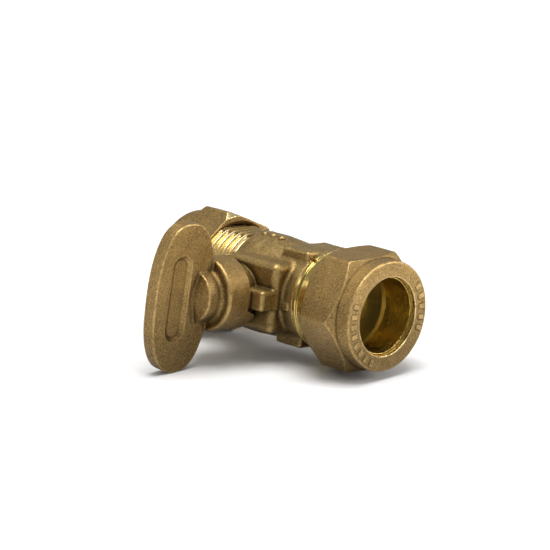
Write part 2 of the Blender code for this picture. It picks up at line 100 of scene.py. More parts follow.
# handle, whose sizes along the stem are counted from the ball
HUB_R = 7.5
HUB_TOP = 20.9
SKIRT_BORE_R = 5.7
SKIRT_LONG = 12.4
SKIRT_SHORT = 15.2
SKIRT_CEILING = 16.9
STEP_SLOPE = 0.43
NECK_TOP = 24.3
HANDLE_NECK_R = 5.3
STEM_SOCKET_R = 2.9
STEM_SOCKET_END = 22.6
SCREW_OUT = 18.9
SCREW_HOLE_R = 1.8
SCREW_HOLE_END = -1.9
PLATE_CENTRE = 27.75
PLATE_HALF_WIDTH = 7.35
PLATE_HALF_LENGTH = 15.2
PLATE_HALF_THICK = 1.55
PLATE_POWER = 2.45             # of the superellipse that is the plate's outline
RECESS_CENTRE = 29.0
RECESS_HALF_WIDTH = 2.5
RECESS_HALF_LENGTH = 8.8
RECESS_DEPTH = 0.75
RECESS_DRAFT = 1.2
CLOSED_LEAN = radians(4.5)
# nuts and olives
NUT_FLATS_HALF = 11.35
NUT_CORNER_ROUND = 1.2
NUT_LENGTH = 13.0
NUT_COLLAR_R = 11.15
NUT_COLLAR = 3.7               # length of the round collar
NUT_HOLE_R = 7.88
FRONT_NUT_PHASE = radians(25.0)
REAR_NUT_PHASE = radians(50.0)
OLIVE_LENGTH = 6.8
OLIVE_R = 8.9
OLIVE_INSET = 1.25

# ---- details that only the visual model has, in millimetres ----
# the bevel at a nut's open end, as points (inward, radius): where it starts, and its radius at the end
BEVEL_START = (NUT_LENGTH - 1.7, 13.05)
FRONT_BEVEL = 11.2
REAR_BEVEL = 12.15
NUT_FACE_INSET = 0.17          # so that the marks stand up to the CAD nut's face
MARK_HEIGHT = 0.16
MARK_ROUNDING = 0.12
MARK_RADIUS = 9.6              # mean radius of the marks on the ring
BARREL_MARKS = [(-3.4, -1.8, 0.62), (-1.0, -1.8, 0.62), (1.4, -1.8, 0.62)]     # (x, y, radius)
MOULD_STEP = (0.35, -0.1)      # how far the boss stands forward above and below the parting line
CUT_EDGE = 0.12                # rounding that a cutter leaves
# how cast pieces depart from true: how far inside, and the height and the wavelength of the unevenness
BODY_UNEVEN = (0.0, 0.06, 5.5)
HANDLE_UNEVEN = (0.04, 0.045, 6.0)
NUT_UNEVEN = (0.045, 0.04, 6.5)

# ---- the G 1/2 thread ----
PITCH = 1.814
THREAD_MEAN = 9.9
THREAD_HALF = 0.58             # from the mean radius to a crest or a root
THREAD_ROOM = 0.14             # radial clearance of the nut's thread
THREAD_FLAT = 9.78             # the cast land along the parting line, where the body's thread is cut off
THREAD_LAND = 9.34             # and where its grooves are filled up to
LAND_EDGE = 0.915              # cosine of the angle from the parting line at which the land ends
THREAD_END_R = (9.2, 10.2)     # the chamfer 1 mm long at the end of a thread

# ---- colours, as linear RGB ----
CAST = (0.40, 0.255, 0.088)
CAST_TARNISHED = (0.31, 0.20, 0.072)
CAST_GREY = (0.33, 0.235, 0.11)
CAST_PIT = (0.11, 0.07, 0.028)
CAST_GLINT = (0.66, 0.45, 0.18)
CAST_RUBBED = (0.72, 0.49, 0.20)
# painted shade for concave creases, shut-in places and undersides
CAST_PAINTED_SHADE = (0.06, 0.038, 0.014)
# painted shade, darker towards the floor
CAST_SHADE_NEAR_FLOOR = (0.07, 0.047, 0.02)
CAST_MACHINED = (0.77, 0.61, 0.31)
TURNED = (0.80, 0.60, 0.19)
TURNED_DEEP = (0.68, 0.49, 0.15)
TURNED_STAIN = (0.46, 0.34, 0.12)
# the next two are painted shade: in a bore, and in shut-in places
TURNED_BORE_SHADE = (0.50, 0.44, 0.21)
TURNED_SHADE = (0.30, 0.22, 0.08)

# ---- meshing ----
STEP = 0.2     # spacing of the grid that the surfaces are found on
BODY_STEP = 1.3 * STEP                 # keeps the largest piece under 200,000 triangles


# ---------------------------------------------------------------- distance functions
def union(a, b, blend=0.0):
    """The nearer of two distances; blend is the radius of the fillet where they meet."""
    if not blend:
        return np.minimum(a, b)
    mix = np.clip(0.5 + 0.5 * (b - a) / blend, 0.0, 1.0)
    return b + (a - b) * mix - blend * mix * (1.0 - mix)


def both(a, b, blend=0.0):
    return -union(-a, -b, blend)


def without(a, b, blend=0.0):
    return both(a, -b, blend)


def slab(t, low, high):
    return np.abs(t - (low + high) / 2) - abs(high - low) / 2


def rounded(rounding, *terms):
    """What lies inside all of the terms, its outer edges rounded."""
    shifted = [t + rounding for t in terms]
    outside = np.sqrt(sum(np.maximum(t, 0.0) ** 2 for t in shifted))
    inside = shifted[0]
    for t in shifted[1:]:
        inside = np.maximum(inside, t)
    return outside + np.minimum(inside, 0.0) - rounding


def cone(x, r, x0, r0, x1, r1):
    """Below the line through two (along, radius) points, solid towards the axis."""
    run, rise = x1 - x0, r1 - r0
    return ((r - r0) * abs(run) - (x - x0) * rise * (1 if run > 0 else -1)) / sqrt(run * run + rise * rise)


def waviness(x, y, z, size):
    """The slow unevenness of a casting, within about 1 each way; size is its wavelength."""
    k = 2 * pi / size
    return (np.sin(k * (x + 0.31 * y + 1.3)) * np.sin(k * (0.87 * y - 0.42 * z + 0.4))
            + np.sin(k * (0.71 * z + 0.53 * x + 2.1)) * np.sin(k * (0.61 * x - 0.78 * y + 0.9))) / 2


def uneven(shape, x, y, z, inset, height, size):
    return shape + inset + height * waviness(x, y, z, size)


def thread(x, y, z, mean, half, fade):
    """A right-handed helical thread about X; fade is 1 where it is full and 0 where it has run out."""
    turns = x / PITCH - np.arctan2(z, y) / (2 * pi)
    ridge = mean + half * fade * np.cos(2 * pi * turns)
    return 0.5 * (np.hypot(y, z) - ridge)


def rear_spigot(x, y, z):
    """The body's threaded end, whose thread is cut off and filled along the parting line."""
    r = np.hypot(y, z)
    runout = np.clip((THREAD_SHOULDER - x) / 0.9, 0.0, 1.0)
    spigot = thread(x, y, z, THREAD_MEAN, THREAD_HALF, runout)
    spigot = both(spigot, slab(x, REAR_MOUTH, THREAD_SHOULDER + 1.5))
    end_r, full_r = THREAD_END_R
    spigot = both(spigot, cone(x, r, REAR_MOUTH, end_r, REAR_MOUTH + 1, full_r), 0.2)
    spigot = both(spigot, np.abs(z) - THREAD_FLAT, 0.35)
    land = rounded(0.1, slab(x, REAR_MOUTH + 1.0, THREAD_SHOULDER), r - THREAD_LAND,
                   LAND_EDGE * r - np.abs(z))
    return union(spigot, land, 0.1)


def body_outside(x, y, z):
    out = -y
    r = np.hypot(y, z)
    cast = rounded(0.6, slab(x, THREAD_SHOULDER - 0.2, 6.0), r - BARREL_R,
                   cone(x, r, BARREL_END - 1.6, BARREL_R, 5.6, NECK_R))
    cast = union(cast, rounded(0.25, slab(x, 0.0, BODY_FRONT), r - NECK_R), 0.9)
    pads = rounded(0.6, slab(x, FLATS_START, BODY_FRONT - 0.2), np.abs(y) - FLATS_SIDE,
                   np.abs(z) - FLATS_HALF)
    cast = union(cast, pads, 0.6)
    # the upper half of the mould sat a little further forward, which left a step along the parting line
    above, below = MOULD_STEP
    boss_front = np.where(z > LUG_LOW + 0.2, BOSS_FRONT + above, BOSS_FRONT + below)
    boss = rounded(1.4, np.maximum(THREAD_SHOULDER + 0.6 - x, x - boss_front), slab(out, 0.0, BOSS_FACE),
                   np.abs(z) - BOSS_HALF)
    cast = union(cast, boss, 0.9)
    flash = rounded(0.25, slab(x, 10.6, 12.3), slab(out, 8.6, 9.75), slab(z, -1.9, -0.4))
    cast = union(cast, flash, 0.5)
    lug = rounded(0.8, slab(x, 4.9, BOSS_FRONT + 0.2), slab(out, BOSS_FACE - 2.0, LUG_OUT),
                  slab(z, LUG_LOW, LUG_HIGH))
    cast = union(cast, lug, 0.5)
    for at_x, at_y, size in BARREL_MARKS:
        dot = np.sqrt((x - at_x) ** 2 + (y - at_y) ** 2 + (z - BARREL_R + 0.25) ** 2) - size
        cast = union(cast, dot, 0.15)
    cast = uneven(cast, x, y, z, *BODY_UNEVEN)
    tower = rounded(0.4, slab(out, 8.0, TOWER_TOP), np.hypot(x, z) - TOWER_R)
    return union(union(cast, tower, 0.4), rear_spigot(x, y, z), 0.15)


def body(x, y, z):
    out = -y
    r = np.hypot(y, z)
    shape = body_outside(x, y, z)
    bore = both(r - PIPE_SOCKET_R, x - REAR_STOP)
    bore = union(bore, both(cone(x, r, REAR_MOUTH, MOUTH_R, REAR_MOUTH + MOUTH_DEPTH, PIPE_SOCKET_R),
                            x - REAR_STOP + 2.0))
    bore = union(bore, both(r - WATERWAY_R, x - BODY_FRONT))
    bore = union(bore, both(r - CAVITY_R, CAVITY_REAR - x))
    shape = without(shape, bore, CUT_EDGE)
    about_stem = np.hypot(x, z)
    passage = union(both(about_stem - STEM_BORE_R, FLANGE_SEAT - out),
                    both(about_stem - FLANGE_BORE_R, slab(out, FLANGE_SEAT, WASHER_SEAT)))
    return without(shape, passage, CUT_EDGE)


def connector(x, y, z):
    r = np.hypot(y, z)
    shape = rounded(0.3, slab(x, CONNECTOR_BACK, BODY_FRONT + 1.0), r - CONNECTOR_R)
    groove = both(SEAL_GROOVE_R - r, slab(x, SEAL_X - SEAL_GROOVE_HALF, SEAL_X + SEAL_GROOVE_HALF))
    shape = without(shape, groove)
    collar = rounded(0.22, slab(x, BODY_FRONT + 0.3, COLLAR_END - 0.35), r - COLLAR_R)
    relief = rounded(0.15, slab(x, BODY_FRONT + 0.8, COLLAR_END + 2.6), r - 9.62)
    turn = np.arctan2(z, -y)
    notch = both(slab(turn, radians(56), radians(60)) * COLLAR_R, both(9.3 - r, x - COLLAR_END + 0.2))
    shape = union(shape, union(without(collar, notch, 0.15), relief, 0.15))
    fade = np.clip((x - COLLAR_END - 1.2) / 1.2, 0.0, 1.0)
    screw = both(thread(x, y, z, THREAD_MEAN - 0.28 * (1 - fade), THREAD_HALF, fade),
                 slab(x, COLLAR_END, FRONT_MOUTH))
    end_r, full_r = THREAD_END_R
    screw = both(screw, cone(x, r, FRONT_MOUTH - 1, full_r, FRONT_MOUTH, end_r), 0.2)
    shape = union(shape, screw)
    bore = union(r - WATERWAY_R, both(r - PIPE_SOCKET_R, FRONT_STOP - x))
    bore = union(bore, both(cone(x, r, FRONT_MOUTH - MOUTH_DEPTH, PIPE_SOCKET_R, FRONT_MOUTH, MOUTH_R),
                            FRONT_STOP + 2.0 - x))
    return without(shape, bore, CUT_EDGE)


def hexagon(y, z, phase):
    """Distance to a hexagonal prism about X whose first flat faces phase, from the stem side up."""
    inner = NUT_FLATS_HALF - NUT_CORNER_ROUND
    turn = np.arctan2(z, -y) - phase
    r = np.hypot(y, z)
    sector = (turn + pi / 6) % (pi / 3) - pi / 6
    across, along = r * np.cos(sector) - inner, r * np.abs(np.sin(sector))
    half_side = inner / sqrt(3)
    beyond = np.hypot(np.maximum(across, 0.0), np.maximum(along - half_side, 0.0))
    return np.where(across > 0, np.where(along > half_side, beyond, across), across) - NUT_CORNER_ROUND


def nut(x, y, z, face, side, phase, bevel, marks):
    """A nut; side is 1 at the front end and -1 at the rear end."""
    inward = side * (face - x) - NUT_FACE_INSET
    r = np.hypot(y, z)
    turn = np.arctan2(z, -y)
    outside = both(hexagon(y, z, phase), slab(inward, 1.0, NUT_LENGTH - 0.2))
    outside = both(outside, cone(inward, r, NUT_COLLAR - 0.15, 11.5, NUT_COLLAR + 1.0, 13.1), 0.18)
    outside = both(outside, cone(inward, r, *BEVEL_START, NUT_LENGTH - 0.2, bevel), 0.25)
    collar_r = NUT_COLLAR_R - 0.15 * (bevel > NUT_FLATS_HALF)
    collar = rounded(0.45, slab(inward, 0.0, NUT_COLLAR + 0.5), r - collar_r)
    shape = union(outside, collar, 0.12)
    shape = uneven(shape, x, y, z, *NUT_UNEVEN)
    for at, low, high, wide in marks:
        across = (turn - at + pi) % (2 * pi) - pi
        mark = rounded(MARK_ROUNDING, slab(across * MARK_RADIUS, -wide, wide), slab(r, low, high),
                       np.abs(inward) - MARK_HEIGHT)
        shape = union(shape, mark, MARK_ROUNDING)
    fade = np.clip((inward - 5.0) / 0.8, 0.0, 1.0)
    bore = both(thread(x, y, z, THREAD_MEAN + THREAD_ROOM, THREAD_HALF, fade), 5.2 - inward)
    lead_in = both(cone(inward, r, NUT_LENGTH - 0.9, 10.3, NUT_LENGTH, 11.2), NUT_LENGTH - 1.1 - inward)
    bore = union(bore, lead_in)
    olive_seat = both(cone(inward, r, 1.2, NUT_HOLE_R, 5.2, 9.7), slab(inward, 1.0, 5.3))
    bore = union(bore, olive_seat)
    bore = union(bore, r - NUT_HOLE_R)
    return without(shape, bore, 0.15)


def olive(x, y, z, face, side):
    inward = side * (face - x) - OLIVE_INSET
    r = np.hypot(y, z)
    bore = PIPE_SOCKET_R - 0.05
    shape = both(slab(inward, 0.0, OLIVE_LENGTH), r - OLIVE_R)
    shape = both(shape, cone(inward, r, 0.0, bore + 0.2, 2.3, OLIVE_R), 0.3)
    shape = both(shape, cone(inward, r, 3.6, OLIVE_R, OLIVE_LENGTH, bore + 0.2), 0.3)
    return without(shape, r - bore, 0.05)


def handle(x, y, z):
    """The handle with its plate square to the flow; shown() then leans it by CLOSED_LEAN."""
    out = -y
    r = np.hypot(x, z)
    hub = rounded(0.7, slab(out, SKIRT_LONG, HUB_TOP), r - HUB_R)
    neck = rounded(0.3, slab(out, HUB_TOP - 2.0, NECK_TOP + 1.2), r - HANDLE_NECK_R)
    neck = both(neck, cone(out, r, NECK_TOP, HANDLE_NECK_R, NECK_TOP + 1.15, PLATE_HALF_THICK), 0.3)
    shape = union(hub, neck, 1.0)
    u = np.abs(out - PLATE_CENTRE) / PLATE_HALF_WIDTH + 1e-6
    w = np.abs(z) / PLATE_HALF_LENGTH + 1e-6
    total = u ** PLATE_POWER + w ** PLATE_POWER
    level = total ** (1 / PLATE_POWER)
    steep = level / total * np.hypot(u ** (PLATE_POWER - 1) / PLATE_HALF_WIDTH,
                                     w ** (PLATE_POWER - 1) / PLATE_HALF_LENGTH)
    plate = rounded(0.32, np.abs(x) - PLATE_HALF_THICK, (level - 1) / steep)
    straight = RECESS_HALF_LENGTH - RECESS_HALF_WIDTH
    slot = np.hypot(out - RECESS_CENTRE, z - np.clip(z, -straight, straight)) - RECESS_HALF_WIDTH
    floor = PLATE_HALF_THICK - RECESS_DEPTH
    wall = (slot - RECESS_DRAFT * (np.abs(x) - PLATE_HALF_THICK)) / sqrt(1 + RECESS_DRAFT ** 2)
    recess = both(wall, floor - np.abs(x), 0.12)       # on both faces
    plate = without(plate, recess, 0.12)
    shape = union(shape, plate, 0.45)
    shape = uneven(shape, x, y, z, *HANDLE_UNEVEN)
    c, s = cos(CLOSED_LEAN), sin(CLOSED_LEAN)
    from_lug = z * c - x * s          # height in the valve's frame
    lower_step = LUG_LOW - 0.3 - STEP_SLOPE * (SKIRT_SHORT - out)
    upper_step = x + LUG_HIGH + 0.3
    cutaway = both(both(lower_step - from_lug, -upper_step, 0.2), out - SKIRT_SHORT, 0.2)
    shape = without(shape, cutaway, 0.25)
    hollow = union(both(r - SKIRT_BORE_R, out - SKIRT_CEILING),
                   both(r - STEM_SOCKET_R, out - STEM_SOCKET_END))
    shape = without(shape, hollow, 0.15)
    hole = both(np.hypot(out - SCREW_OUT, z) - SCREW_HOLE_R, x - SCREW_HOLE_END)
    return without(shape, hole, 0.2)


# ---------------------------------------------------------------- meshing
def surface_nets(distance, low, high, step):
    """Vertices and quads of the closed surface where the distance is 0 inside a box."""
    axes = [np.arange(a - 1.5 * step, b + 2.5 * step, step) for a, b in zip(low, high)]
    shape = tuple(len(a) for a in axes)
    field = np.broadcast_to(distance(*np.meshgrid(*axes, indexing="ij", sparse=True)), shape)
    solid = field < 0
    cells = tuple(n - 1 for n in shape)
    count = np.zeros(cells, np.int8)
    for a in (0, 1):
        for b in (0, 1):
            for c in (0, 1):
                count += solid[a:a + cells[0], b:b + cells[1], c:c + cells[2]]
    at = np.argwhere((count > 0) & (count < 8))
    place, hits = np.zeros((len(at), 3)), np.zeros(len(at))
    for axis in range(3):
        for a in (0, 1):
            for b in (0, 1):
                start = np.insert([a, b], axis, 0)
                end = np.insert([a, b], axis, 1)
                f0, f1 = field[tuple((at + start).T)], field[tuple((at + end).T)]
                crosses = (f0 < 0) != (f1 < 0)
                share = np.where(crosses, f0 / np.where(crosses, f0 - f1, 1.0), 0.0)
                place += crosses[:, None] * (start + share[:, None] * (end - start))
                hits += crosses
    points = np.array([a[0] for a in axes]) + (at + place / hits[:, None]) * step
    number = np.full(cells, -1)
    number[tuple(at.T)] = np.arange(len(at))
    quads = []
    for axis in range(3):
        u, w = (axis + 1) % 3, (axis + 2) % 3
        change = np.diff(solid.astype(np.int8), axis=axis)
        inner = [slice(None)] * 3
        inner[u] = inner[w] = slice(1, -1)
        found = np.argwhere(change[tuple(inner)] != 0)
        found[:, [u, w]] += 1
        back_u, back_w = np.eye(3, dtype=int)[u], np.eye(3, dtype=int)[w]
        corners = [found - back_u - back_w, found - back_w, found, found - back_u]
        ring = np.stack([number[tuple(c.T)] for c in corners], 1)
        leaving = change[tuple(found.T)] < 0
        ring[~leaving] = ring[~leaving][:, ::-1]
        quads.append(ring)
    return points, np.concatenate(quads)


def slope(distance, points, reach):
    """Gradient of the distance at the points, and how much it bends there."""
    here = distance(*points.T)
    gradient, bend = np.zeros_like(points), -6.0 * here
    for axis in range(3):
        move = np.eye(3)[axis] * reach
        above, below = distance(*(points + move).T), distance(*(points - move).T)
        gradient[:, axis] = (above - below) / (2 * reach)
        bend += above + below
    return here, gradient, bend / reach ** 2


def shown(name, distance, low, high, body_name, matrix=Matrix.Identity(4), step=STEP):
    """Meshes a distance function and rides it on its body.

    Point attributes drive the materials: "edge" is how sharp the place is, "worn" how much it stands
    out of the broad shape, "machined" whether a cutter has been there, and one more attribute how shut in
    the place is and how far it faces down, which the materials use to paint shade there.
    """
    points, quads = surface_nets(distance, low, high, step)
    for _ in range(4):
        here, gradient, _ = slope(distance, points, 0.02)
        size = np.maximum((gradient ** 2).sum(1), 0.05)
        points -= np.clip(here / size, -0.4 * step, 0.4 * step)[:, None] * gradient
    _, gradient, _ = slope(distance, points, 0.06)
    normals = gradient / np.maximum(np.linalg.norm(gradient, axis=1, keepdims=True), 1e-9)
    _, _, bend = slope(distance, points, 0.3)
    _, _, broad = slope(distance, points + 1.2 * normals, 1.0)
    heights = (0.8, 1.8, 3.5)
    # how shut in each point is, plus a share for faces that look down: the mask for painted shade in
    # creases and on undersides
    occlusion_and_underside = sum(np.clip(1 - distance(*(points + normals * h).T) / h, 0.0, 1.0) for h in heights) / 3
    occlusion_and_underside += 0.35 * np.clip(-normals[:, 2], 0.0, 1.0)
    radius = np.hypot(points[:, 1], points[:, 2])
    mesh = bpy.data.meshes.new(name)
    mesh.from_pydata(points.tolist(), [], quads.tolist())
    mesh.shade_smooth()
    values = {"edge": np.clip(bend / 2.5, -1.0, 1.0), "machined": is_machined(name, points, radius),
              "shade_mask": occlusion_and_underside, "worn": np.clip(broad, 0.0, 1.0)}
    for key, value in values.items():
        attribute = mesh.attributes.new(key, 'FLOAT', 'POINT')
        attribute.data.foreach_set("value", value.astype(np.float32))
    mesh.normals_split_custom_set_from_vertices(normals.tolist())
    mesh.transform(VALVE @ matrix)
    obj = bpy.data.objects.new(name, mesh)
    bpy.context.scene.collection.objects.link(obj)
    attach(obj, body_name)
    return obj


def is_machined(name, points, radius):
    """1 where a cutter has been, 0 on the cast skin."""
    x, out = points[:, 0], -points[:, 1]
    if name == "body_shell":
        z = points[:, 2]
        about_stem = np.hypot(x, z)
        threaded = (x < THREAD_SHOULDER + 0.2) & (np.abs(z) < LAND_EDGE * radius)
        return (threaded | (radius < CAVITY_R + 0.3) | (x > BODY_FRONT - 0.05)
                | ((about_stem < FLANGE_BORE_R + 0.1) & (out > CAVITY_R / 2)))
    if name == "connector_shell":
        # its bore, which the turned brass also paints darker as painted shade
        return radius < MOUTH_R + 0.05
    if name.endswith("nut_shell"):
        inward = np.minimum(FRONT_FACE - x, x - REAR_FACE) - NUT_FACE_INSET
        bevel = FRONT_BEVEL if name.startswith("front") else REAR_BEVEL
        above_bevel = cone(inward, radius, *BEVEL_START, NUT_LENGTH - 0.2, bevel) > -0.15
        return ((inward > NUT_LENGTH - 1.8) & above_bevel) | (radius < NUT_HOLE_R + 0.1)
    return np.zeros(len(points))


# ---------------------------------------------------------------- materials
class Nodes:
    """Short ways to add and link shader nodes."""

    def __init__(self, name):
        self.material = bpy.data.materials.new(name)
        self.material.use_nodes = True
        self.tree = self.material.node_tree
        self.shader = self.tree.nodes["Principled BSDF"]

    def add(self, kind, inputs=(), **settings):
        node = self.tree.nodes.new(kind)
        for key, value in settings.items():
            setattr(node, key, value)
        for key, value in dict(inputs).items():
            if isinstance(value, bpy.types.NodeSocket):
                self.tree.links.new(value, node.inputs[key])
            else:
                node.inputs[key].default_value = value
        return node

    def place(self):
        return self.add("ShaderNodeTexCoord").outputs["Object"]

    def noise(self, size, detail=3.0, roughness=0.55, stretch=None):
        """Noise whose features are about size mm across, from 0 to 1."""
        place = self.place()
        if stretch:
            place = self.add("ShaderNodeMapping", {"Vector": place, "Scale": stretch}).outputs[0]
        return self.add("ShaderNodeTexNoise", {"Vector": place, "Scale": 1.0 / (size * MM),
                                               "Detail": detail, "Roughness": roughness}).outputs["Fac"]

    def ramp(self, value, low, high, to_low=0.0, to_high=1.0):
        return self.add("ShaderNodeMapRange", {"Value": value, "From Min": low, "From Max": high,
                                               "To Min": to_low, "To Max": to_high}).outputs[0]

    def math(self, operation, a, b=0.0):
        return self.add("ShaderNodeMath", {0: a, 1: b}, operation=operation).outputs[0]

    def mix(self, factor, a, b):
        node = self.add("ShaderNodeMix", data_type='RGBA')
        for key, value in ((0, factor), (6, a), (7, b)):
            if isinstance(value, bpy.types.NodeSocket):
                self.tree.links.new(value, node.inputs[key])
            else:
                node.inputs[key].default_value = (*value, 1.0) if key else value
        return node.outputs[2]

    def attribute(self, name):
        return self.add("ShaderNodeAttribute", attribute_name=name).outputs["Fac"]

    def bump(self, height, distance, normal=None, strength=1.0):
        inputs = {"Height": height, "Distance": distance * MM, "Strength": strength}
        if normal:
            inputs["Normal"] = normal
        return self.add("ShaderNodeBump", inputs).outputs[0]

    def finish(self, **sockets):
        for key, value in sockets.items():
            socket = self.shader.inputs[key.replace("_", " ")]
            if isinstance(value, bpy.types.NodeSocket):
                self.tree.links.new(value, socket)
            else:
                socket.default_value = value
        return self.material


def cast_brass(name, tone=1.0, grain=1.0, warmth=1.0):
    """Dull, granular brass: pale rubbed edges, dark pits and slow patches of tarnish, with painted shade
    in creases, on undersides and towards the floor.
    """
    n = Nodes(name)

    def toned(colour):
        red, green, blue = colour
        return (tone * warmth * red, tone * green, tone * blue)

    patches = n.ramp(n.noise(4.0, 4.0, 0.6), 0.35, 0.68)
    grey = n.ramp(n.noise(2.2, 3.0, 0.6), 0.4, 0.75)
    colour = n.mix(patches, toned(CAST), toned(CAST_TARNISHED))
    colour = n.mix(n.math('MULTIPLY', grey, 0.3), colour, toned(CAST_GREY))
    height = n.add("ShaderNodeSeparateXYZ", {0: n.place()}).outputs["Z"]
    speckle = n.math('ADD', n.noise(0.28, 2.0, 0.5), n.ramp(height, 0.003, 0.013, 0.105, 0.01))
    colour = n.mix(n.ramp(speckle, 0.54, 0.68, 0.0, 0.75), colour, toned(CAST_PIT))
    light = n.noise(0.26, 2.0, 0.5)
    colour = n.mix(n.ramp(light, 0.54, 0.68, 0.0, 0.7), colour, CAST_GLINT)
    edge = n.attribute("edge")
    wear = n.math('MAXIMUM', n.ramp(edge, 0.2, 0.9), n.ramp(n.attribute("worn"), 0.4, 0.9))
    rub = n.math('MULTIPLY', wear, n.ramp(n.noise(0.9, 3.0, 0.6), 0.38, 0.62, 0.15, 1.0))
    colour = n.mix(n.math('MULTIPLY', rub, 0.7), colour, CAST_RUBBED)
    # painted shade: darker in concave creases, in shut-in places and on faces that look down
    hollow = n.math('MAXIMUM', n.ramp(edge, -0.9, -0.25, 1.0, 0.0), n.ramp(n.attribute("shade_mask"), 0.2, 0.6))
    colour = n.mix(n.math('MULTIPLY', hollow, 0.75), colour, CAST_PAINTED_SHADE)
    # painted shade: the colour darkens towards the floor
    shade_near_floor = n.ramp(height, 0.005, 0.018, 0.5, 0.0)
    colour = n.mix(shade_near_floor, colour, toned(CAST_SHADE_NEAR_FLOOR))
    machined = n.attribute("machined")
    colour = n.mix(machined, colour, CAST_MACHINED)
    rough = n.ramp(n.noise(0.9, 3.0, 0.6), 0.3, 0.7, 0.42, 0.58)
    rough = n.math('SUBTRACT', rough, n.math('MULTIPLY', rub, 0.14))
    rough = n.math('SUBTRACT', rough, n.math('MULTIPLY', machined, 0.2))
    rest = n.math('SUBTRACT', 1.0, n.math('MULTIPLY', machined, 0.93))
    coarse = n.bump(n.math('MULTIPLY', n.noise(0.9, 2.0, 0.5), rest), 0.08 * grain)
    fine = n.bump(n.math('MULTIPLY', n.noise(0.26, 2.0, 0.6), rest), 0.075 * grain, coarse)
    return n.finish(Base_Color=colour, Roughness=rough, Normal=fine, Metallic=1.0)


def turned_brass(name, axis, polish=0.2):
    """Bright brass with the fine rings that a lathe leaves about an axis, 0 for X or 1 for Y, with painted
    shade in its bore, in shut-in places and on faces that look down.
    """
    n = Nodes(name)
    along = [0.04, 0.04, 0.04]
    along[axis] = 1.0
    rings = n.noise(0.16, 2.0, 0.6, along)
    bands = n.noise(1.5, 2.0, 0.5, along)
    stain = n.ramp(n.noise(3.5, 4.0, 0.6), 0.4, 0.75)
    colour = n.mix(n.ramp(rings, 0.3, 0.7), TURNED, TURNED_DEEP)
    colour = n.mix(n.math('MULTIPLY', stain, 0.5), colour, TURNED_STAIN)
    bore = n.attribute("machined")
    # painted shade: the bore is painted darker and greyer; its higher roughness is its real finish
    colour = n.mix(n.math('MULTIPLY', bore, 0.75), colour, TURNED_BORE_SHADE)
    # painted shade in shut-in places and on faces that look down
    colour = n.mix(n.ramp(n.attribute("shade_mask"), 0.3, 0.75, 0.0, 0.8), colour, TURNED_SHADE)
    rough = n.ramp(bands, 0.3, 0.7, polish - 0.05, polish + 0.07)
    rough = n.math('ADD', rough, n.math('MULTIPLY', stain, 0.1))
    rough = n.math('ADD', rough, n.math('MULTIPLY', bore, 0.14))
    calm = n.math('SUBTRACT', 1.0, n.math('MULTIPLY', bore, 0.8))
    wavy = n.bump(n.math('MULTIPLY', n.noise(2.0, 2.0, 0.5), calm), 0.06)
    normal = n.bump(rings, 0.012, wavy)
    return n.finish(Base_Color=colour, Roughness=rough, Normal=normal, Metallic=1.0)


def chrome(name):
    n = Nodes(name)
    scuff = n.noise(0.5, 3.0, 0.6, (1.0, 0.15, 1.0))
    colour = n.mix(n.ramp(n.noise(3.0), 0.35, 0.7), (0.66, 0.67, 0.69), (0.56, 0.57, 0.60))
    return n.finish(Base_Color=colour, Roughness=n.ramp(scuff, 0.3, 0.75, 0.05, 0.22),
                    Normal=n.bump(scuff, 0.004), Metallic=1.0)


def zinc(name):
    n = Nodes(name)
    grain = n.noise(0.35, 3.0, 0.6)
    colour = n.mix(n.ramp(grain, 0.35, 0.7), (0.52, 0.53, 0.55), (0.36, 0.37, 0.38))
    return n.finish(Base_Color=colour, Roughness=n.ramp(n.noise(0.8), 0.3, 0.7, 0.25, 0.42),
                    Normal=n.bump(grain, 0.02), Metallic=1.0)


def ptfe(name):
    n = Nodes(name)
    cloud = n.noise(1.2, 3.0, 0.6)
    colour = n.mix(n.ramp(cloud, 0.35, 0.7), (0.86, 0.86, 0.83), (0.76, 0.76, 0.72))
    return n.finish(Base_Color=colour, Roughness=n.ramp(n.noise(0.4), 0.3, 0.7, 0.38, 0.55),
                    Normal=n.bump(n.noise(0.25), 0.01), Subsurface_Weight=0.15, Subsurface_Scale=0.0008)


def rubber(name):
    n = Nodes(name)
    grain = n.noise(0.22, 3.0, 0.6)
    colour = n.mix(n.ramp(grain, 0.35, 0.75), (0.018, 0.018, 0.018), (0.045, 0.043, 0.04))
    return n.finish(Base_Color=colour, Roughness=n.ramp(n.noise(0.9), 0.3, 0.7, 0.5, 0.72),
                    Normal=n.bump(grain, 0.015))


def paint(obj, material):
    obj.data.materials.clear()
    obj.data.materials.append(material)


# ---------------------------------------------------------------- pieces
def ring_marks(spans):
    """Plain raised blocks round a nut's face, as (angle, inner radius, outer radius, half width).

    A span is (first angle, last angle, number of blocks), in degrees from the stem side up.
    """
    marks = []
    for start, end, count in spans:
        for i in range(count):
            at = radians(start + (end - start) * i / (count - 1))
            marks.append((at, 8.9, 10.4, 0.5))
    return marks


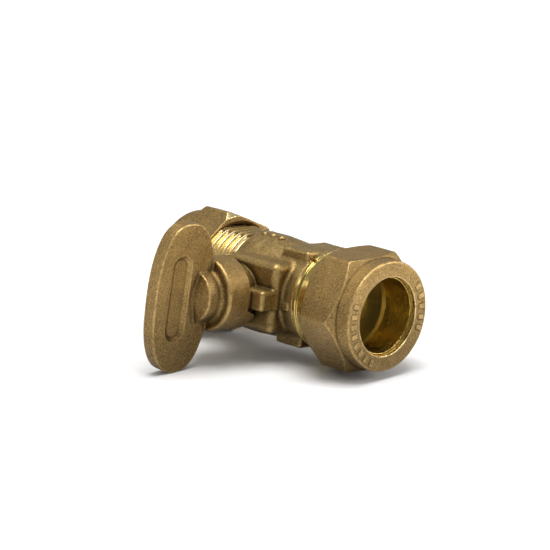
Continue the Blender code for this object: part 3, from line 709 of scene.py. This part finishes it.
def build_pieces():
    front_marks = ring_marks([(146, 198, 5), (-68, 16, 8)])
    rear_marks = ring_marks([(10, 62, 5), (190, 274, 8)])
    nut_reach, olive_reach = 13.5, 9.2
    made = {
        "valve_body": shown("body_shell", body, (REAR_MOUTH, -17.0, -10.9), (BODY_FRONT, 10.9, 10.9),
                            "valve", step=BODY_STEP),
        "end_connector": shown("connector_shell", connector, (CONNECTOR_BACK, -10.7, -10.7),
                               (FRONT_MOUTH, 10.7, 10.7), "valve"),
        "handle": shown("handle_shell", handle, (-7.8, -35.4, -15.5), (7.8, -12.0, 15.5),
                        "handle_and_stem", Matrix.Rotation(CLOSED_LEAN, 4, 'Y')),
    }
    ends = (("front", FRONT_FACE, 1, FRONT_NUT_PHASE, FRONT_BEVEL, front_marks),
            ("rear", REAR_FACE, -1, REAR_NUT_PHASE, REAR_BEVEL, rear_marks))
    for name, face, side, phase, bevel, marks in ends:
        low, high = sorted((face, face - side * NUT_LENGTH))
        made[name + "_nut"] = shown(
            name + "_nut_shell", lambda x, y, z: nut(x, y, z, face, side, phase, bevel, marks),
            (low, -nut_reach, -nut_reach), (high, nut_reach, nut_reach), name + "_nut")
        low, high = sorted((face - side * OLIVE_INSET, face - side * (OLIVE_INSET + OLIVE_LENGTH)))
        made[name + "_olive"] = shown(
            name + "_olive_ring", lambda x, y, z: olive(x, y, z, face, side),
            (low, -olive_reach, -olive_reach), (high, olive_reach, olive_reach),
            name + "_olive")
    for node, obj in made.items():
        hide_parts(node)
    paint(made["valve_body"], cast_brass("body_cast_brass", tone=0.93, warmth=0.95))
    paint(made["handle"], cast_brass("handle_cast_brass", tone=0.95, grain=1.1))
    paint(made["front_nut"], cast_brass("front_nut_cast_brass", grain=0.9))
    paint(made["rear_nut"], cast_brass("rear_nut_cast_brass", tone=0.85, grain=0.9))
    paint(made["end_connector"], turned_brass("connector_turned_brass", 0, 0.14))
    paint(made["front_olive"], turned_brass("front_olive_brass", 0))
    paint(made["rear_olive"], turned_brass("rear_olive_brass", 0))


def dress_cad_nodes():
    """The inner pieces keep their CAD meshes and get better materials."""
    finishes = {
        "ball": (chrome("ball_chrome"), "chrome_plate"),
        "seat_ring_front": (ptfe("front_seat_ptfe"), "ptfe"),
        "seat_ring_rear": (ptfe("rear_seat_ptfe"), "ptfe"),
        "stem": (turned_brass("stem_brass", 1), "turned_brass"),
        "stem_thrust_washer": (ptfe("washer_ptfe"), "ptfe"),
        "stem_oring_inner": (rubber("inner_oring_rubber"), "seal_rubber"),
        "stem_oring_outer": (rubber("outer_oring_rubber"), "seal_rubber"),
        "connector_seal": (rubber("connector_seal_rubber"), "seal_rubber"),
        "handle_grub_screw": (zinc("grub_screw_zinc"), "zinc_plate"),
    }
    for node, (material, slot) in finishes.items():
        obj = frame["nodes"][node]
        for i in range(len(obj.material_slots)):
            obj.material_slots[i].material = material


# ---------------------------------------------------------------- stage
def soft_light(name, position, aim, size, power, spread=180.0):
    """A rectangular lamp; spread is the angle in degrees of the light that it gives."""
    light = bpy.data.lights.new(name, 'AREA')
    light.shape = 'RECTANGLE'
    light.size, light.size_y = size
    light.energy = power
    light.spread = radians(spread)
    obj = bpy.data.objects.new(name, light)
    obj.location = position
    obj.rotation_mode = 'QUATERNION'
    obj.rotation_quaternion = (Vector(aim) - Vector(position)).to_track_quat('-Z', 'Y')
    bpy.context.scene.collection.objects.link(obj)


def build_floor():
    half = 3.0
    corners = [(-half, -half, 0), (half, -half, 0), (half, half, 0), (-half, half, 0)]
    mesh = bpy.data.meshes.new("floor")
    mesh.from_pydata(corners, [], [(0, 1, 2, 3)])
    floor = bpy.data.objects.new("floor", mesh)
    bpy.context.scene.collection.objects.link(floor)
    n = Nodes("pale_floor")
    paper = n.ramp(n.noise(6.0, 2.0, 0.5), 0.3, 0.7)
    paint(floor, n.finish(Base_Color=n.mix(paper, (0.90, 0.90, 0.90), (0.88, 0.88, 0.885)),
                          Roughness=0.9, Normal=n.bump(n.noise(0.8), 0.01)))


def build_world():
    """An even grey tent, a little lighter overhead."""
    world = bpy.data.worlds.new("soft_tent")
    bpy.context.scene.world = world
    world.use_nodes = True
    tree = world.node_tree
    place = tree.nodes.new("ShaderNodeTexCoord")
    split = tree.nodes.new("ShaderNodeSeparateXYZ")
    tree.links.new(place.outputs["Generated"], split.inputs[0])
    ramp = tree.nodes.new("ShaderNodeValToRGB")
    for stop, position, grey in zip(ramp.color_ramp.elements, (0.0, 0.9), (0.34, 0.44)):
        stop.position = position
        stop.color = (grey, grey, grey, 1.0)
    tree.links.new(split.outputs["Z"], ramp.inputs[0])
    tree.links.new(ramp.outputs[0], tree.nodes["Background"].inputs["Color"])
    tree.nodes["Background"].inputs["Strength"].default_value = 1.0


def build_lights():
    middle = (0.0, 0.0, 0.01)
    soft_light("overhead_softbox", (0.06, -0.06, 0.6), middle, (0.4, 0.4), 3.7)
    soft_light("right_softbox", (0.42, 0.42, 0.23), middle, (0.3, 0.22), 1.6)
    soft_light("left_softbox", (-0.42, -0.38, 0.26), middle, (0.25, 0.25), 0.32)
    # lights the floor behind the valve, and not the valve
    soft_light("backdrop_softbox", (-0.75, 0.76, 0.6), (-0.75, 0.76, 0.0), (0.9, 0.9), 9.0, 80.0)


def build_camera():
    """The camera, given in the valve's frame by where it stands as seen from the ball."""
    azimuth, elevation, roll = radians(44.5254), radians(11.5739), radians(5.0015)
    distance = 537.4                    # in millimetres
    image, focal = 550, 2645.93         # width and focal length in pixels
    shift_x, shift_y = -4.236, 10.346
    back = Vector((sin(azimuth) * cos(elevation), -cos(azimuth) * cos(elevation), sin(elevation)))
    level = Vector((cos(azimuth), sin(azimuth), 0.0))
    upright = back.cross(level)
    right = cos(roll) * level + sin(roll) * upright
    up = cos(roll) * upright - sin(roll) * level
    turn = Matrix((right, up, back)).transposed().to_4x4()
    data = bpy.data.cameras.new("camera")
    data.sensor_width = 36.0
    data.lens = focal * data.sensor_width / image
    data.shift_x = shift_x / image
    data.shift_y = shift_y / image
    data.clip_start, data.clip_end = 0.01, 20.0
    camera = bpy.data.objects.new("camera", data)
    bpy.context.scene.collection.objects.link(camera)
    rest = Matrix.Rotation(-REST_TILT, 4, 'X')
    camera.matrix_world = Matrix.Translation(VALVE @ (back * distance)) @ rest @ turn
    bpy.context.scene.camera = camera


build_pieces()
dress_cad_nodes()
build_floor()
build_world()
build_lights()
build_camera()
bpy.context.scene.view_settings.view_transform = 'Standard'
